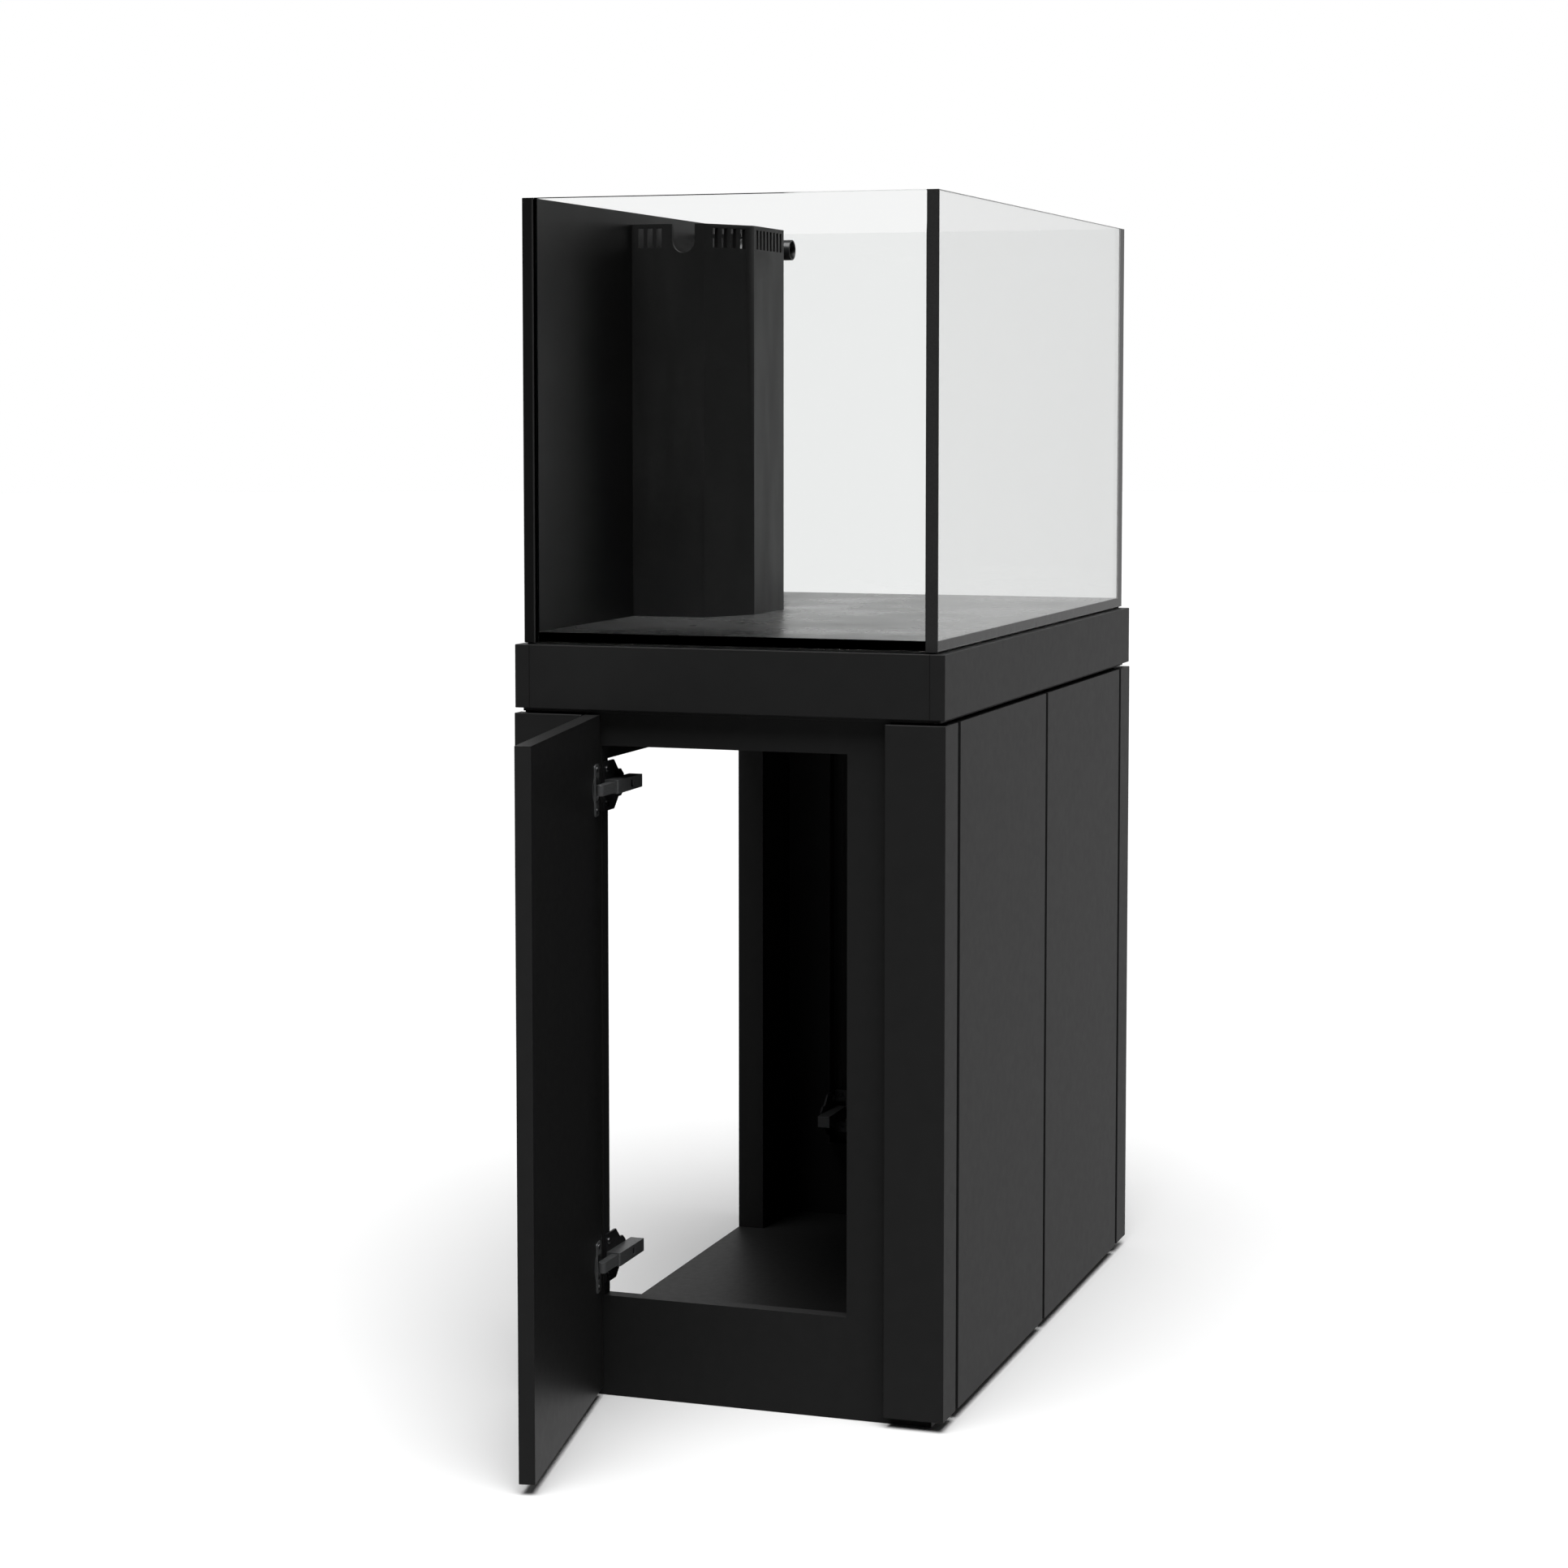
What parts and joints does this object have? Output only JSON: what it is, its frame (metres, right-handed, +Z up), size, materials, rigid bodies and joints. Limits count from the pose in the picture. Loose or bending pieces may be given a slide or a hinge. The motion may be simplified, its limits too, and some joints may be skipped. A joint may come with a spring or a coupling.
{
  "type": "aquarium on stand",
  "caption": "Rimless glass aquarium with a rear overflow box, on a black cabinet stand with side and front doors and a shadow gap.",
  "frame": {"origin": "on the ground, below the middle of the cabinet", "axes": "+Z up, +X to the right along the front, the front with its two doors faces -Y; the open side door is at -X"},
  "size_m": [1.2597, 0.522, 1.4],
  "materials": {
    "glass": "polished clear float glass with ground edges",
    "black_glass": "black back-painted polished glass",
    "silicone": "black silicone, satin",
    "foam_mat": "black foam",
    "weir_plastic": "black satin sheet plastic",
    "pipe_plastic": "dark grey moulded pipe",
    "lacquered_board": "satin black lacquered fibreboard",
    "carcass_board": "matt black laminated fibreboard",
    "hinge_steel": "dark nickel-plated pressed steel",
    "screw_steel": "dark nickel-plated screw"
  },
  "bodies": {
    "stand": {"front_pane": "glass", "back_pane": "black_glass", "left_pane": "glass", "right_pane": "glass", "bottom_pane": "black_glass", "silicone_seams": "silicone", "levelling_mat": "foam_mat", "overflow_box": "weir_plastic", "drain_standpipe": "pipe_plastic", "emergency_standpipe": "pipe_plastic", "return_riser": "pipe_plastic", "return_sleeve": "pipe_plastic", "bulkheads": "pipe_plastic", "bulkhead_gaskets": "silicone", "bulkhead_nuts": "pipe_plastic", "tray_front_board": "lacquered_board", "tray_rear_board": "lacquered_board", "tray_left_board": "lacquered_board", "tray_right_board": "lacquered_board", "tray_deck": "carcass_board", "tray_bearers": "carcass_board", "spacer_board": "carcass_board", "top_panel": "carcass_board", "base_panel": "carcass_board", "left_side_frame": "carcass_board", "right_side_frame": "carcass_board", "front_frame": "carcass_board", "left_rear_post": "carcass_board", "right_rear_post": "carcass_board", "rear_rail": "carcass_board", "front_left_corner": "lacquered_board", "front_right_corner": "lacquered_board", "left_rear_strip": "lacquered_board", "right_rear_strip": "lacquered_board", "hinge_plates": "hinge_steel", "plate_screws": "screw_steel", "hinge_arms": "hinge_steel"},
    "left_side_door": {"left_side_door": "lacquered_board", "left_side_cups": "hinge_steel", "left_side_cup_screws": "screw_steel"},
    "left_side_links": {"left_side_links": "hinge_steel"},
    "right_side_door": {"right_side_door": "lacquered_board", "right_side_cups": "hinge_steel", "right_side_cup_screws": "screw_steel"},
    "right_side_links": {"right_side_links": "hinge_steel"},
    "front_left_door": {"front_left_door": "lacquered_board", "front_left_cups": "hinge_steel", "front_left_cup_screws": "screw_steel"},
    "front_left_links": {"front_left_links": "hinge_steel"},
    "front_right_door": {"front_right_door": "lacquered_board", "front_right_cups": "hinge_steel", "front_right_cup_screws": "screw_steel"},
    "front_right_links": {"front_right_links": "hinge_steel"},
    "return_nozzle": {"return_nozzle": "pipe_plastic"}
  },
  "joints": [
    {"name": "left_side_door_hinge", "type": "hinge", "parent": "stand", "child": "left_side_door", "pos_m": [-0.452, 0.171, 0.4], "axis": [0, 0, -1], "range_deg": [-79.6, 15.4]},
    {"name": "left_side_links_travel", "type": "slide", "parent": "stand", "child": "left_side_links", "axis": [-1, 0, 0], "range_m": [-0.03511, 0.00695]},
    {"name": "right_side_door_hinge", "type": "hinge", "parent": "stand", "child": "right_side_door", "pos_m": [0.452, 0.171, 0.4], "axis": [0, 0, 1], "range_deg": [0, 95]},
    {"name": "right_side_links_travel", "type": "slide", "parent": "stand", "child": "right_side_links", "axis": [1, 0, 0], "range_m": [0, 0.04187]},
    {"name": "front_left_door_hinge", "type": "hinge", "parent": "stand", "child": "front_left_door", "pos_m": [-0.39, -0.258, 0.4], "axis": [0, 0, -1], "range_deg": [0, 95]},
    {"name": "front_left_links_travel", "type": "slide", "parent": "stand", "child": "front_left_links", "axis": [0, -1, 0], "range_m": [0, 0.04187]},
    {"name": "front_right_door_hinge", "type": "hinge", "parent": "stand", "child": "front_right_door", "pos_m": [0.39, -0.258, 0.4], "axis": [0, 0, 1], "range_deg": [0, 95]},
    {"name": "front_right_links_travel", "type": "slide", "parent": "stand", "child": "front_right_links", "axis": [0, -1, 0], "range_m": [0, 0.04187]},
    {"name": "return_nozzle_swivel", "type": "hinge", "parent": "stand", "child": "return_nozzle", "pos_m": [0.12, 0.17, 1.3645], "axis": [1, 0, 0], "range_deg": [-60, 60]}
  ],
  "couplings": [
    {"joint": "left_side_links_travel", "follows": "left_side_door_hinge", "m_per_rad": 0.025131},
    {"joint": "right_side_links_travel", "follows": "right_side_door_hinge", "m_per_rad": 0.025131},
    {"joint": "front_left_links_travel", "follows": "front_left_door_hinge", "m_per_rad": 0.025131},
    {"joint": "front_right_links_travel", "follows": "front_right_door_hinge", "m_per_rad": 0.025131}
  ]
}
